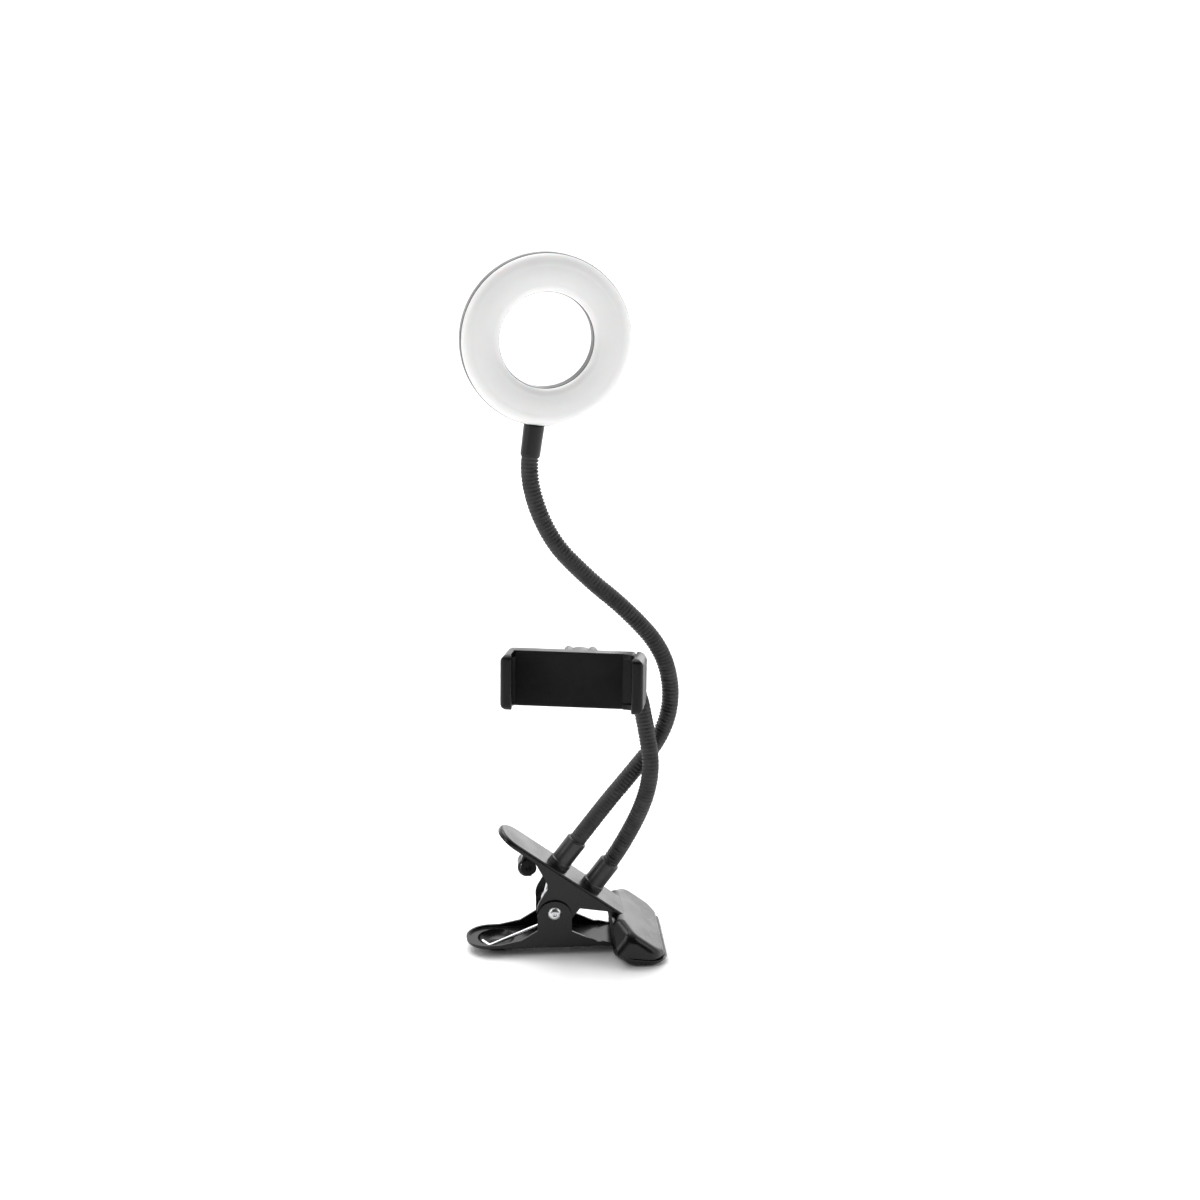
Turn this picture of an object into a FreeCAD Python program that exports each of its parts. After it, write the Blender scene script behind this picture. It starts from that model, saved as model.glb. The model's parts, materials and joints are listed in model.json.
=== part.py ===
import FreeCAD, Part
import math
import os
from FreeCAD import Placement, Rotation, Vector

# Clip-on ring light: a spring clamp that carries two goosenecks, one with an LED ring
# and one with a phone holder. Millimetres, +Z up, +X towards the jaw tips, -Y is the front.
# The origin is on the flat underside of the lower jaw, where the clamp rests.

doc = FreeCAD.newDocument("clip_ring_light")

# ---------------------------------------------------------------- driving dimensions
SIZES = {
    # clamp
    "sheet_steel": 1.2,        # thickness of both stamped levers
    "pin_back": 48.0,          # pivot pin, behind the middle of the jaws
    "pin_height": 25.5,        # pivot pin, above the underside of the lower jaw
    "pin_diameter": 5.0,
    "rivet_head": 7.8,
    "neck_width": 25.4,        # upper lever between its wings and its thumb end
    "lever_gap": 0.3,          # side clearance between the two levers' walls
    "plate_angle": 36.5,       # slope of the upper lever with the jaws closed
    "plate_height": 21.1,      # top of the upper lever, square above the pin
    "thumb_reach": 51.8,       # pin to the thumb end, along the upper lever
    "jaw_start": 28.8,         # pin to the back of the wings, along the upper lever
    "jaw_reach": 63.0,         # pin to the tip, along the upper lever
    "jaw_width": 68.0,
    "jaw_shoulder": 5.0,       # rolled edge of the drawn upper jaw
    "jaw_bilge": 4.0,          # rolled edge of the drawn lower jaw
    "edge_roll": 1.6,          # rolled edge of the levers
    "rim_depth": 3.0,
    "ear_radius": 9.7,
    "web_height": 4.1,         # underside of the lower lever's channel
    "tail_reach": 50.0,        # pin to the end of the lower tray
    "pad_thickness": 2.4,
    "coil_radius": 5.9,        # middle of the spring wire
    "spring_wire": 2.0,
    "coil_turns": 6.0,
    "coil_pitch": 2.5,
    # goosenecks
    "sleeve_diameter": 9.1,
    "core_diameter": 6.4,
    "bend_gap": 0.3,           # clearance of the ball end of each neck length in its cup
    "collar_diameter": 12.0,
    "collar_length": 18.3,     # base collar, above the plate
    "seat_nut_height": 3.4,
    "stud_diameter": 8.0,
    "stud_bore": 4.5,
    "lock_nut_width": 12.5,
    "lock_nut_height": 3.6,
    "light_stud": -11.9,       # stud of the light's neck, along the upper lever
    "phone_stud": 11.3,        # stud of the phone's neck, along the upper lever
    # ring light head
    "ring_outer": 91.0,
    "ring_hole": 50.4,
    "ring_wall": 1.6,
    "ring_back": 5.5,          # back of the housing, behind the stem's axis
    "ring_rim": 3.0,           # front edge of the housing, before the stem's axis
    "diffuser_rise": 4.4,      # crown of the diffuser above the housing's edge
    "board_inner": 58.0,
    "board_outer": 84.0,
    "board_thickness": 1.2,
    "stem_length": 17.0,
    # phone holder
    "ball_diameter": 16.0,
    "liner_thickness": 0.9,
    "running_gap": 0.06,
    "nut_outer": 31.0,
    "holder_width": 75.8,
    "holder_plate_width": 64.6,
    "holder_plate_height": 30.0,
    "holder_plate_front": 19.0,
    "holder_plate_back": 11.4,
    "holder_skin": 2.0,
    "jaw_height": 30.0,
    "jaw_depth": 33.0,
    "holder_jaw": 5.4,         # thickness of each jaw of the holder
    "holder_lip": 0.8,         # how far its front edge turns in
    "rod_diameter": 2.4,
}

sheet = doc.addObject("Spreadsheet::Sheet", "Sizes")
for row, (alias, value) in enumerate(SIZES.items(), start=1):
    sheet.set("A%d" % row, alias)
    sheet.set("B%d" % row, str(value))
    sheet.setAlias("B%d" % row, alias)
doc.recompute()


def size(alias):
    """A driving dimension as a number."""
    return float(sheet.get(alias))


nodes = {}


def finish(node, thing):
    """Names the object that is exported as a node."""
    thing.Label = node
    nodes[node] = thing
    return thing


# ---------------------------------------------------------------- general helpers
def bind(thing, **expressions):
    """Ties properties to the sheet; a name in braces is an alias."""
    for prop, text in expressions.items():
        for alias in sorted(SIZES, key=len, reverse=True):
            text = text.replace("{" + alias + "}", "Sizes." + alias)
        thing.setExpression(prop, text)
    return thing


def body(name, place=None):
    made = doc.addObject("PartDesign::Body", name)
    if place is not None:
        made.Placement = place
    return made


def sketch(part, name, role, height=0.0):
    """A sketch on one of the body's own origin planes, lifted by a height."""
    made = part.newObject("Sketcher::SketchObject", name)
    plane = [f for f in part.Origin.OriginFeatures if f.Role == role][0]
    made.AttachmentSupport = [(plane, "")]
    made.MapMode = "FlatFace"
    made.AttachmentOffset = Placement(Vector(0, 0, height), Rotation())
    return made


def outline(flat, steps):
    """Draws a closed outline. The first step is the start; a step of two numbers is a
    line to that point, and one of four is an arc through the first point to the second."""
    here = Vector(steps[0][0], steps[0][1], 0)
    for step in list(steps[1:]) + [steps[0]]:
        there = Vector(step[-2], step[-1], 0)
        if len(step) == 4:
            through = Vector(step[0], step[1], 0)
            flat.addGeometry(Part.Arc(here, through, there))
        elif (there - here).Length > 1e-6:
            flat.addGeometry(Part.LineSegment(here, there))
        here = there


def pad(part, flat, name, length_text, back=False, both=False):
    made = part.newObject("PartDesign::Pad", name)
    made.Profile = flat
    made.Reversed = back
    if both:
        made.SideType = "Symmetric"
    bind(made, Length=length_text)
    return made


def revolve(part, flat, name):
    made = part.newObject("PartDesign::Revolution", name)
    made.Profile = flat
    made.ReferenceAxis = (flat, ["V_Axis"])
    made.Angle = 360
    return made


def fillet(part, name, chosen, radius_text):
    """Rounds the edges of the body's last feature that the test picks."""
    doc.recompute()
    base = part.Tip
    picked = [
        "Edge%d" % (i + 1) for i, edge in enumerate(base.Shape.Edges) if chosen(edge)
    ]
    made = part.newObject("PartDesign::Fillet", name)
    made.Base = (base, picked)
    bind(made, Radius=radius_text)
    return made


def level(edge, height):
    """True for an edge that lies at one height in its body."""
    box = edge.BoundBox
    return abs(box.ZMin - height) < 1e-4 and abs(box.ZMax - height) < 1e-4


def joined(kind, name, base, tool):
    """A boolean of two objects: Part::Cut, Part::Fuse or Part::Common."""
    made = doc.addObject(kind, name)
    made.Base = base
    made.Tool = tool
    return made


def tube_or_rod(name, place, radius_text, length_text, bore_text=None):
    """A round bar along its own Z, hollow where a bore is given."""
    bar = bind(doc.addObject("Part::Cylinder", name), Radius=radius_text, Height=length_text)
    bar.Placement = place
    if bore_text is None:
        return bar
    hole = bind(
        doc.addObject("Part::Cylinder", name + "_bore"), Radius=bore_text, Height=length_text
    )
    hole.Placement = place
    return joined("Part::Cut", name + "_tube", bar, hole)


def ball(name, centre, radius_text):
    made = bind(doc.addObject("Part::Sphere", name), Radius=radius_text)
    made.Placement = Placement(centre, Rotation())
    return made


# ---------------------------------------------------------------- frames of the assembly
PIN = Vector(-size("pin_back"), 0, size("pin_height"))
UPPER = Placement(PIN, Rotation(Vector(0, 1, 0), size("plate_angle")))
LOWER = Placement(Vector(PIN.x, 0, 0), Rotation())
TOP = size("plate_height")
STEEL = size("sheet_steel")
PLATE_NORMAL = UPPER.Rotation.multVec(Vector(0, 0, 1))

UPPER_HALF = size("neck_width") / 2
LOWER_HALF = UPPER_HALF + size("lever_gap") + STEEL
WING_HALF = size("jaw_width") / 2


def rounded_plan(corners, inset=0.0):
    """Outline of a convex plan. Corners are x, y and radius, in order; an inset draws the
    parallel outline inside it, so a wall between the two has one thickness."""
    count = len(corners)
    points = [Vector(c[0], c[1], 0) for c in corners]
    ways = [(points[(i + 1) % count] - points[i]).normalize() for i in range(count)]
    moved = []
    for i in range(count):
        into = ways[i - 1]
        away = ways[i]
        across_in = Vector(into.y, -into.x, 0)
        turn = into.x * away.y - into.y * away.x
        gain = inset * (1 - into.dot(away)) / turn
        moved.append(points[i] + across_in * inset + into * gain)
    steps = []
    for i in range(count):
        into = ways[i - 1]
        away = ways[i]
        radius = max(corners[i][2] - inset, 0.0)
        if radius < 0.05:
            steps.append((moved[i].x, moved[i].y))
            continue
        half = math.acos(max(-1.0, min(1.0, into.dot(away)))) / 2
        cut = radius * math.tan(half)
        inward = (away - into).normalize()
        first = moved[i] - into * cut
        middle = moved[i] + inward * (math.hypot(radius, cut) - radius)
        last = moved[i] + away * cut
        steps.append((first.x, first.y))
        steps.append((middle.x, middle.y, last.x, last.y))
    return steps


def wing_outline(back, tip, half, inset=0.0):
    """Plan of a jaw: wings that widen from the channel, then narrow to a blunt tip."""
    length = tip - back
    soft = min(1.0, length / 24.0)
    side = [
        (back, half * 0.60, 5.0 * soft), (back + length * 0.26, half, 9.0 * soft),
        (back + length * 0.82, half * 0.99, 10.0 * soft), (tip, half * 0.77, 6.0 * soft),
    ]
    mirror = [(x, -y, r) for x, y, r in reversed(side)]
    return rounded_plan(side + mirror, inset)


def tongue_outline(far, near, half, inset=0.0):
    """Plan of a lever between its round end and the jaw."""
    corners = [
        (near, half, 0.0), (near, -half, 0.0), (far, -half, half * 0.92),
        (far, half, half * 0.92),
    ]
    return rounded_plan(corners, inset)


def block(name, place, steps, low, high, roll_top=None, roll_bottom=None):
    """A plan extruded between two heights, with a rolled top or bottom edge."""
    made = body(name, place)
    flat = sketch(made, name + "_plan", "XY_Plane", low)
    outline(flat, steps)
    pad(made, flat, name + "_pad", str(high - low))
    if roll_top:
        fillet(made, name + "_roll", lambda e: level(e, high), roll_top)
    if roll_bottom:
        fillet(made, name + "_roll", lambda e: level(e, low), roll_bottom)
    return made


def side_view(name, place, steps, width):
    """A side view extruded across the lever."""
    made = body(name, place)
    flat = sketch(made, name + "_view", "XZ_Plane")
    outline(flat, steps)
    pad(made, flat, name + "_pad", str(width), both=True)
    return made


def cross_hole(name, place, x, z, radius_text, width):
    """A round cutter that lies across the lever."""
    start = place.multiply(Placement(Vector(x, width / 2, z), Rotation(Vector(1, 0, 0), 90)))
    return tube_or_rod(name, start, radius_text, str(width))


def plate_hole(name, along, radius_text):
    """A cutter square through the upper lever's plate."""
    place = UPPER.multiply(Placement(Vector(along, 0, TOP - 3 * STEEL), Rotation()))
    return tube_or_rod(name, place, radius_text, str(6 * STEEL))


# ---------------------------------------------------------------- upper lever
# One stamping: a plate with a thumb end, side walls that carry the pin, and a drawn jaw
# whose side wall is trimmed to a line that closes on the lower jaw.
reach = size("jaw_reach")
start = size("jaw_start")
deep = 40.0
roll = size("jaw_shoulder")
wings = block(
    "upper_wings", UPPER, wing_outline(start, reach, WING_HALF),
    TOP - deep, TOP, roll_top="{jaw_shoulder}",
)
channel = block(
    "upper_channel", UPPER,
    tongue_outline(-size("thumb_reach"), start + roll, UPPER_HALF), TOP - deep, TOP,
    roll_top="{edge_roll}",
)
ear = size("ear_radius")
rim = TOP - size("rim_depth")
profile = side_view(
    "upper_side", UPPER,
    [
        (-size("thumb_reach") - 5, TOP + 5),
        (-size("thumb_reach") - 5, rim),
        (-26.5, rim),
        (-13.6, 11.6),
        (-11.6, 9.0, -11.4, 6.0),
        (-ear * 1.12, 2.0),
        (-ear * 0.72, -ear * 0.70, 0.0, -ear),
        (ear * 0.72, -ear * 0.70, ear * 1.06, 3.0),
        (10.4, 10.2),
        (25.4, rim),
        (28.0, rim - 1.4),
        (38.5, 5.6),
        (reach + 0.9, 19.45),
        (reach + 5, 19.45),
        (reach + 5, TOP + 5),
    ],
    size("jaw_width") + 20,
)
shell = joined("Part::Fuse", "upper_blank", wings, channel)
shell = joined("Part::Common", "upper_trimmed", shell, profile)
wings_in = block(
    "upper_wings_inside", UPPER,
    wing_outline(start, reach, WING_HALF, STEEL), TOP - deep - 1, TOP - STEEL,
    roll_top="{jaw_shoulder} - {sheet_steel}",
)
channel_in = block(
    "upper_channel_inside", UPPER,
    tongue_outline(-size("thumb_reach"), start + roll, UPPER_HALF, STEEL),
    TOP - deep - 1, TOP - STEEL, roll_top="0.4",
)
inside = joined("Part::Fuse", "upper_hollow", wings_in, channel_in)
shell = joined("Part::Cut", "upper_shell", shell, inside)
shell = joined(
    "Part::Cut", "upper_pin_hole", shell,
    cross_hole("upper_pin_cut", UPPER, 0, 0, "{pin_diameter}/2 + {running_gap}", 60),
)
shell = joined(
    "Part::Cut", "upper_hole_light", shell,
    plate_hole("light_hole", size("light_stud"), "{stud_diameter}/2 + 0.1"),
)
shell = joined(
    "Part::Cut", "upper_hole_phone", shell,
    plate_hole("phone_hole", size("phone_stud"), "{stud_diameter}/2 + 0.1"),
)
# The lead's bracket is a strip bent down behind the pin like a hook.
strip = body("lead_bracket", UPPER)
flat = sketch(strip, "lead_bracket_view", "XZ_Plane")
under = TOP - STEEL + 0.1
gland_along = -26.0
gland_under = 11.4
hug = 4.6
outline(
    flat,
    [
        (gland_along - 7.6, under), (gland_along - 8.8, under),
        (gland_along - hug - 1.2, gland_under + 1.0),
        (gland_along - 3.9, gland_under - hug - 0.2, gland_along + 2.0, gland_under - hug - 0.9),
        (gland_along + 4.6, gland_under - 3.4),
        (gland_along + 3.7, gland_under - 2.6),
        (gland_along - 2.2, gland_under - hug + 0.5, gland_along - hug, gland_under + 0.8),
    ],
)
pad(strip, flat, "lead_bracket_pad", "9", both=True)
shell = joined("Part::Fuse", "upper_with_bracket", shell, strip)
finish("upper_lever", shell)

# ---------------------------------------------------------------- lower lever
jaw_back = size("pin_back") - 15.2
jaw_tip = size("pin_back") + 15.0
web = size("web_height")
low_wings = block(
    "lower_wings", LOWER, wing_outline(jaw_back, jaw_tip, WING_HALF - 0.6),
    0.0, 30.0, roll_bottom="{jaw_bilge}",
)
low_channel = block(
    "lower_channel", LOWER,
    tongue_outline(-size("tail_reach"), jaw_back + roll, LOWER_HALF), web, 60.0,
    roll_bottom="{edge_roll}",
)
pin_up = size("pin_height")
low_profile = side_view(
    "lower_side", LOWER,
    [
        (-size("tail_reach") - 5, -5),
        (jaw_tip + 5, -5),
        (jaw_tip + 5, 2.2),
        (jaw_back - 2, 6.2),
        (jaw_back - 6, web + 3.4),
        (24.0, web + 3.4),
        (ear, web + 10.2),
        (ear, pin_up - 2.5),
        (0.0, pin_up - 2.5 + ear, -ear, pin_up - 2.5),
        (-ear, web + 11.0),
        (-19.0, web + 5.2),
        (-31.0, web + 2.7),
        (-size("tail_reach") - 5, web + 2.2),
    ],
    size("jaw_width") + 20,
)
low_shell = joined("Part::Fuse", "lower_blank", low_wings, low_channel)
low_shell = joined("Part::Common", "lower_trimmed", low_shell, low_profile)
low_wings_in = block(
    "lower_wings_inside", LOWER,
    wing_outline(jaw_back, jaw_tip, WING_HALF - 0.6, STEEL), STEEL, 61.0,
    roll_bottom="{jaw_bilge} - {sheet_steel}",
)
low_channel_in = block(
    "lower_channel_inside", LOWER,
    tongue_outline(-size("tail_reach"), jaw_back + roll, LOWER_HALF, STEEL),
    web + STEEL, 61.0, roll_bottom="0.4",
)
low_inside = joined("Part::Fuse", "lower_hollow", low_wings_in, low_channel_in)
low_shell = joined("Part::Cut", "lower_shell", low_shell, low_inside)
low_shell = joined(
    "Part::Cut", "lower_pin_hole", low_shell,
    cross_hole("lower_pin_cut", LOWER, 0, pin_up, "{pin_diameter}/2", 60),
)
# The tray is dished: a shallow bowl pressed down to the level of the jaw.
dish = web + STEEL
bowl_x = -size("tail_reach") + 17.0
bowl = body("dish_out", LOWER)
flat = sketch(bowl, "dish_out_view", "XZ_Plane")
outline(flat, [(0, web + 0.2), (0, 0.0), (4.0, 0.0), (8.4, 0.9, 11.4, web), (11.4, web + 0.2)])
revolve(bowl, flat, "dish_out_turn")
bowl.Placement = LOWER.multiply(Placement(Vector(bowl_x, 0, 0), Rotation()))
hollow = body("dish_in", LOWER)
flat = sketch(hollow, "dish_in_view", "XZ_Plane")
outline(
    flat,
    [(0, dish + 0.5), (0, STEEL), (3.8, STEEL), (7.8, STEEL + 0.8, 10.6, dish), (10.6, dish + 0.5)],
)
revolve(hollow, flat, "dish_in_turn")
hollow.Placement = bowl.Placement
low_shell = joined("Part::Fuse", "lower_with_dish", low_shell, bowl)
low_shell = joined("Part::Cut", "lower_dished", low_shell, hollow)
finish("lower_lever", low_shell)

# ---------------------------------------------------------------- pin, spacer and spring
half_pin = LOWER_HALF + 0.1
across = Rotation(Vector(1, 0, 0), 90)
pin = body("rivet", Placement(PIN, across))
flat = sketch(pin, "rivet_view", "XZ_Plane")
head = size("rivet_head") / 2
neck = size("pin_diameter") / 2
outline(
    flat,
    [
        (0, -half_pin - 1.9),
        (head * 0.62, -half_pin - 1.75, head, -half_pin),
        (neck, -half_pin), (neck, half_pin), (head, half_pin),
        (head * 0.66, half_pin + 1.55, head * 0.30, half_pin + 1.9),
        (head * 0.22, half_pin + 1.2), (0, half_pin + 1.0),
    ],
)
revolve(pin, flat, "rivet_turn")
finish("pivot_rivet", pin)

tube_half = UPPER_HALF - STEEL - 0.2
spacer = tube_or_rod(
    "spacer", Placement(PIN + Vector(0, tube_half, 0), across), "{coil_radius} - {spring_wire}/2 - 0.4",
    str(2 * tube_half), "{pin_diameter}/2 + {running_gap}",
)
finish("spring_spacer", spacer)

# The torsion spring: a close coil round the spacer and two tangent legs. One leg lies
# in the dished tray and ends in a small hook, and the other bears under the upper lever.
# Each half turn is half a ring leaning by a quarter of the pitch.
coil = size("coil_radius")
wire = size("spring_wire") / 2
pitch = size("coil_pitch")
half_turns = int(2 * size("coil_turns")) - 1


def touch(far, side):
    """Angle, from +X towards +Z about the pin, where a line from a point meets the coil."""
    dx = far.x - PIN.x
    dz = far.z - PIN.z
    return math.atan2(dz, dx) + side * math.acos(coil / math.hypot(dx, dz))


def spring_piece(kind, name, place, **sizes):
    made = bind(doc.addObject(kind, name), **sizes)
    made.Placement = place
    spring_parts.append(made)
    return made


def spring_leg(name, points):
    for number, (a, b) in enumerate(zip(points, points[1:])):
        turn = Rotation(Vector(0, 0, 1), b - a)
        spring_piece(
            "Part::Cylinder", "%s_run%d" % (name, number), Placement(a, turn),
            Radius="{spring_wire}/2", Height=str((b - a).Length),
        )
    for number, point in enumerate(points):
        spring_piece(
            "Part::Sphere", "%s_bend%d" % (name, number), Placement(point, Rotation()),
            Radius="{spring_wire}/2",
        )


spring_parts = []
tray_point = Vector(PIN.x - 37.0, -5.0, STEEL + wire + 0.35)
lift_point = UPPER.multVec(Vector(-30.0, 8.2, TOP - STEEL - wire - 0.1))
low_angle = touch(tray_point, 1)
up_angle = touch(lift_point, -1)
last_sweep = math.degrees(up_angle - low_angle) % 180.0
start_y = -(half_turns + last_sweep / 180.0) * pitch / 4
out = Vector(math.cos(low_angle), 0, math.sin(low_angle))
tangent = Vector(-math.sin(low_angle), 0, math.cos(low_angle))
axis = Vector(0, 1, 0)
lean = math.hypot(coil, pitch / 4)
for number in range(half_turns + 1):
    side = 1 if number % 2 == 0 else -1
    first = (out * (side * coil) - axis * (pitch / 4)) * (1 / lean)
    second = tangent * side
    centre = PIN + axis * (start_y + (number + 0.5) * pitch / 2)
    turn = Placement(FreeCAD.Matrix(
        first.x, second.x, first.cross(second).x, centre.x,
        first.y, second.y, first.cross(second).y, centre.y,
        first.z, second.z, first.cross(second).z, centre.z,
    ))
    sweep = 180.0 if number < half_turns else last_sweep
    spring_piece(
        "Part::Torus", "coil_half%d" % number, turn,
        Radius1="sqrt({coil_radius}^2 + ({coil_pitch}/4)^2)", Radius2="{spring_wire}/2",
        Angle3=str(sweep),
    )
low_end = PIN + out * coil + axis * start_y
end_out = Vector(math.cos(up_angle), 0, math.sin(up_angle))
up_end = PIN + end_out * coil + axis * (start_y + (half_turns + last_sweep / 180.0) * pitch / 2)
hook = tray_point + Vector(-4.0, 3.4, 1.5)
spring_leg("tray_leg", [low_end, tray_point, hook])
spring_leg("lift_leg", [up_end, lift_point])
spring = doc.addObject("Part::MultiFuse", "spring")
spring.Shapes = spring_parts
finish("torsion_spring", spring)

# ---------------------------------------------------------------- goosenecks
# Each neck is bent wire tubing. It is cut where it bends in use: a length begins with a
# ball end, and the length before it ends in the matching cup.
SLEEVE = size("sleeve_diameter") / 2


def route(points, bend=0.45):
    """Edges through the corners of a line of points, each corner rounded."""
    edges = []
    here = points[0]
    for before, corner, after in zip(points, points[1:], points[2:]):
        into = (corner - before).normalize()
        away = (after - corner).normalize()
        cut = bend * min((corner - before).Length, (after - corner).Length)
        a = corner - into * cut
        b = corner + away * cut
        half = (away - into).Length / 2
        radius = cut / math.tan(math.asin(half))
        inward = (away - into).normalize()
        middle = corner + inward * (math.hypot(radius, cut) - radius)
        edges.append(Part.makeLine(here, a))
        edges.append(Part.Arc(a, middle, b).toShape())
        here = b
    edges.append(Part.makeLine(here, points[-1]))
    return edges


def neck_length(name, points, dome, cup):
    """A length of neck. A dome closes its start, and a cup hollows its end."""
    path = doc.addObject("Part::Feature", name + "_path")
    path.Shape = Part.Wire(route(points))
    ring = bind(doc.addObject("Part::Circle", name + "_round"), Radius="{sleeve_diameter}/2")
    ring.Placement = Placement(points[0], Rotation(Vector(0, 0, 1), points[1] - points[0]))
    swept = doc.addObject("Part::Sweep", name + "_sweep")
    swept.Sections = [ring]
    swept.Spine = (path, ["Edge%d" % (i + 1) for i in range(len(path.Shape.Edges))])
    swept.Solid = True
    swept.Frenet = False
    made = swept
    if dome:
        end = ball(name + "_dome", points[0], "{sleeve_diameter}/2")
        made = joined("Part::Fuse", name + "_domed", made, end)
    if cup:
        socket = ball(name + "_cup", points[-1], "{sleeve_diameter}/2 + {bend_gap}")
        made = joined("Part::Cut", name + "_cupped", made, socket)
    return finish(name, made)


def stretch(name, points, hinge_after):
    """Splits a line of points at the middle of the runs that are named by number."""
    lengths = []
    current = [points[0]]
    for number, (a, b) in enumerate(zip(points, points[1:])):
        if number in hinge_after:
            middle = (a + b) * 0.5
            current.append(middle)
            lengths.append(current)
            current = [middle]
        current.append(b)
    lengths.append(current)
    return lengths


RING_AT = Vector(-50.0, 0.0, 347.9)
RING = Placement(RING_AT, Rotation(Vector(0, 0, 1), 7.6))
RING = RING.multiply(Placement(Vector(), Rotation(Vector(1, 0, 0), 90)))
RING = RING.multiply(Placement(Vector(), Rotation(Vector(0, 0, 1), -8.2)))
rim_radius = size("ring_outer") / 2
stem = size("stem_length")

BALL_AT = Vector(-33.9, -22.4, 171.0)
HOLDER = Placement(BALL_AT, Rotation(Vector(0, 0, 1), -10.6))
HOLDER = HOLDER.multiply(Placement(Vector(), Rotation(Vector(1, 0, 0), 84)))
REACH = Vector(-0.80, -0.55, 0.24).normalize()


def above_plate(stud, height):
    """A point on the axis of a stud, above the plate of the upper lever."""
    return UPPER.multVec(Vector(stud, 0, TOP + height))


collar = size("collar_length")
light = size("light_stud")
phone = size("phone_stud")
ring_points = [
    above_plate(light, collar + 1.5),
    above_plate(light, collar + 1.5 + 25.0), Vector(-4.5, 2.5, 101.4),
    Vector(14.1, 5.0, 124.0), Vector(19.9, 6.0, 148.0), Vector(13.7, 5.0, 175.0),
    Vector(-6.6, 3.0, 198.5), Vector(-28.3, 1.0, 217.5), Vector(-48.9, -0.5, 240.0),
    RING.multVec(Vector(0, -rim_radius - stem - 13.5, 0)),
    RING.multVec(Vector(0, -rim_radius - stem + 1.0, 0)),
]
light_lengths = stretch("light_neck", ring_points, (4, 8))
neck_length("light_neck_lower", light_lengths[0], True, True)
neck_length("light_neck_middle", light_lengths[1], True, True)
neck_length("light_neck_upper", light_lengths[2], True, False)

phone_points = [
    above_plate(phone, collar + 1.5),
    above_plate(phone, collar + 1.5 + 6.5), Vector(2.6, -5.5, 86.0),
    Vector(7.0, -8.0, 108.0), Vector(5.5, -6.0, 128.0),
    BALL_AT - REACH * 40.0,
    BALL_AT - REACH * 24.1,
]
phone_lengths = stretch("phone_neck", phone_points, (3,))
neck_length("phone_neck_lower", phone_lengths[0], True, True)
neck_length("phone_neck_upper", phone_lengths[1], True, False)


# ---------------------------------------------------------------- studs of the necks
def turned(name, place, steps):
    """A turned piece: an outline of radius and height, spun about its own Z."""
    made = body(name, place)
    flat = sketch(made, name + "_view", "XZ_Plane")
    outline(flat, steps)
    revolve(made, flat, name + "_turn")
    return made


def neck_mount(name, stud):
    """A base collar with its seat nut on the plate, and stud, washer and nut below."""
    place = UPPER.multiply(Placement(Vector(stud, 0, TOP), Rotation()))
    seat = size("seat_nut_height")
    outer = size("collar_diameter") / 2
    bore = size("stud_diameter") / 2
    cup = size("sleeve_diameter") / 2 + size("bend_gap")
    seat_nut = turned(
        name + "_seat", place,
        [
            (bore + 0.05, 0.0), (outer + 0.5, 0.0), (outer + 0.5, seat - 0.6),
            (outer - 0.1, seat), (bore + 0.05, seat),
        ],
    )
    finish(name + "_seat_nut", seat_nut)
    cap = turned(
        name + "_cap", place,
        [
            (0, seat), (outer, seat), (outer, collar - 1.2),
            (outer - 0.35, collar - 0.35, outer - 1.2, collar),
            (4.0, collar), (0, collar - 1.5),
        ],
    )
    socket = ball(name + "_cap_cup", place.multVec(Vector(0, 0, collar + 1.5)),
                  "{sleeve_diameter}/2 + {bend_gap}")
    finish(name + "_collar", joined("Part::Cut", name + "_cap_cut", cap, socket))
    below = UPPER.multiply(Placement(Vector(stud, 0, TOP - 9.5), Rotation()))
    stud_length = 9.5 + seat
    finish(name + "_stud", tube_or_rod(
        name + "_rod", below, "{stud_diameter}/2", str(stud_length), "{stud_bore}/2"))
    low = TOP - STEEL
    washer_at = UPPER.multiply(Placement(Vector(stud, 0, low - 1.2), Rotation()))
    finish(name + "_washer", tube_or_rod(
        name + "_ring", washer_at, "{stud_diameter}/2 + 2.6", "1.2", "{stud_diameter}/2 + 0.15"))
    nut_at = UPPER.multiply(
        Placement(Vector(stud, 0, low - 1.2 - size("lock_nut_height")), Rotation()))
    hexagon = bind(doc.addObject("Part::Prism", name + "_hexagon"),
                   Circumradius="{lock_nut_width}/2/cos(30)", Height="{lock_nut_height}")
    hexagon.Polygon = 6
    hexagon.Placement = nut_at
    hole = bind(doc.addObject("Part::Cylinder", name + "_thread"),
                Radius="{stud_diameter}/2", Height="{lock_nut_height}")
    hole.Placement = nut_at
    finish(name + "_lock_nut", joined("Part::Cut", name + "_nut", hexagon, hole))


neck_mount("light", light)
neck_mount("phone", phone)

# The lead leaves through a rubber gland in the bracket behind the pin.
gland_at = UPPER.multVec(Vector(gland_along, 0, gland_under))
gland = turned(
    "gland", Placement(gland_at + Vector(0, 5.0, 0), across),
    [(1.9, -1.0), (4.4, -1.0), (4.4, 0.4), (3.9, 1.0), (3.9, 9.0), (4.4, 9.6), (4.4, 11.0),
     (1.9, 11.0)],
)
finish("lead_gland", gland)

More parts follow.
